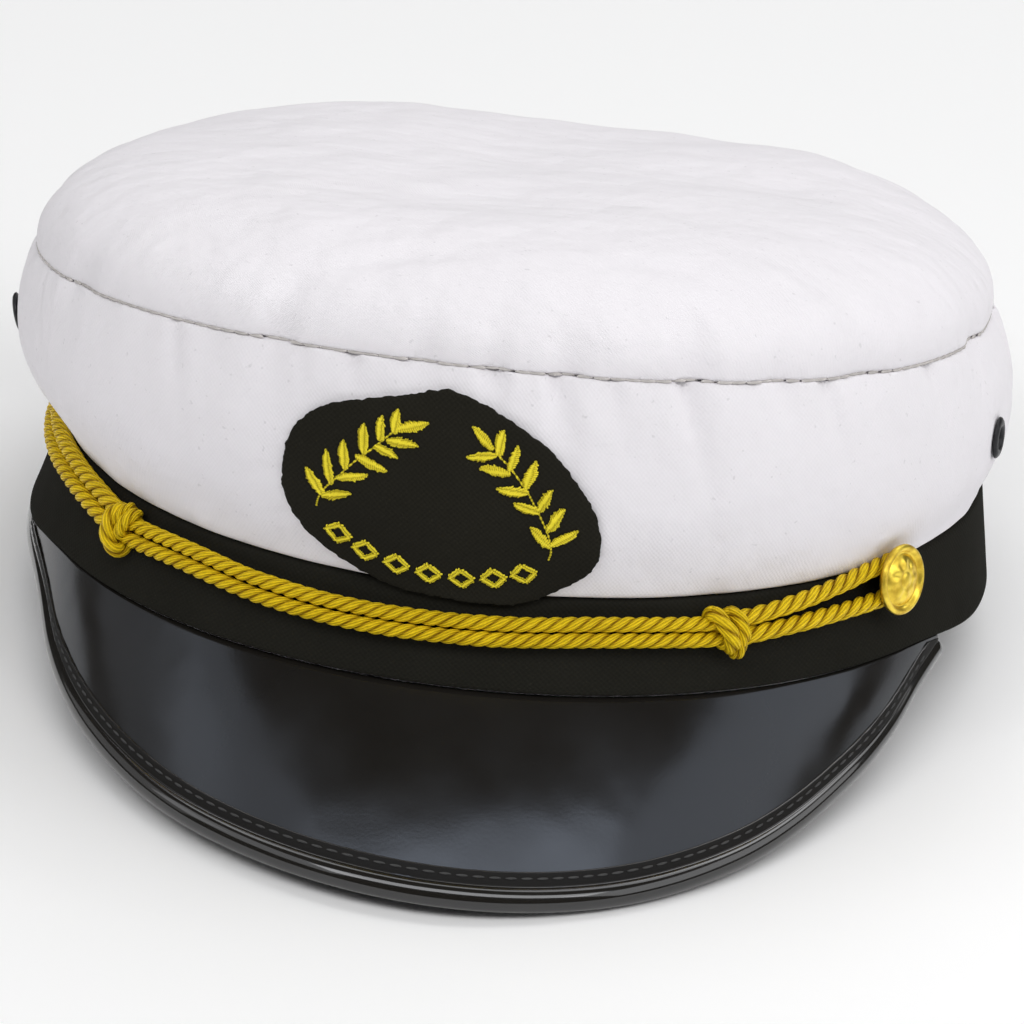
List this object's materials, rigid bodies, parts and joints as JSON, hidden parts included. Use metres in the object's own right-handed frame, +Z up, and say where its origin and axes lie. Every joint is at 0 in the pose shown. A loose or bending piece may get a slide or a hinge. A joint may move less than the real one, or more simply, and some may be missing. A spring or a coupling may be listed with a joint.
{
  "type": "captain hat",
  "caption": "Soft white peaked cap with a black band, glossy bound peak, stitched front patch, gold cord with knots and side buttons, and vent eyelets.",
  "frame": {"origin": "middle of the bounding box's footprint, on the surface that the hat rests on", "axes": "+Z up, the front with the peak towards -Y, and +X towards the wearer's left"},
  "size_m": [0.1838, 0.2288, 0.0948],
  "materials": {
    "white_cotton": "soft matte woven cotton",
    "black_cloth": "matte felted cloth",
    "patch_cloth": "matte twill with stitched gold thread",
    "glossy_vinyl": "smooth glossy vinyl",
    "binding_tape": "satin coated tape",
    "gold_cord": "twisted rayon cord with a soft sheen",
    "gold_metal": "gilt, satin",
    "black_metal": "black enamel"
  },
  "bodies": {
    "root": {"head_band": "black_cloth", "crown_side": "white_cotton", "crown_top": "white_cotton", "peak": "glossy_vinyl", "peak_binding": "binding_tape", "badge_patch": "patch_cloth", "cord_upper": "gold_cord", "cord_lower": "gold_cord", "cord_knot_right": "gold_cord", "cord_knot_left": "gold_cord", "cord_loop_right": "gold_cord", "cord_loop_left": "gold_cord", "button_right": "gold_metal", "button_left": "gold_metal", "eyelet_right": "black_metal", "eyelet_left": "black_metal"}
  },
  "joints": []
}
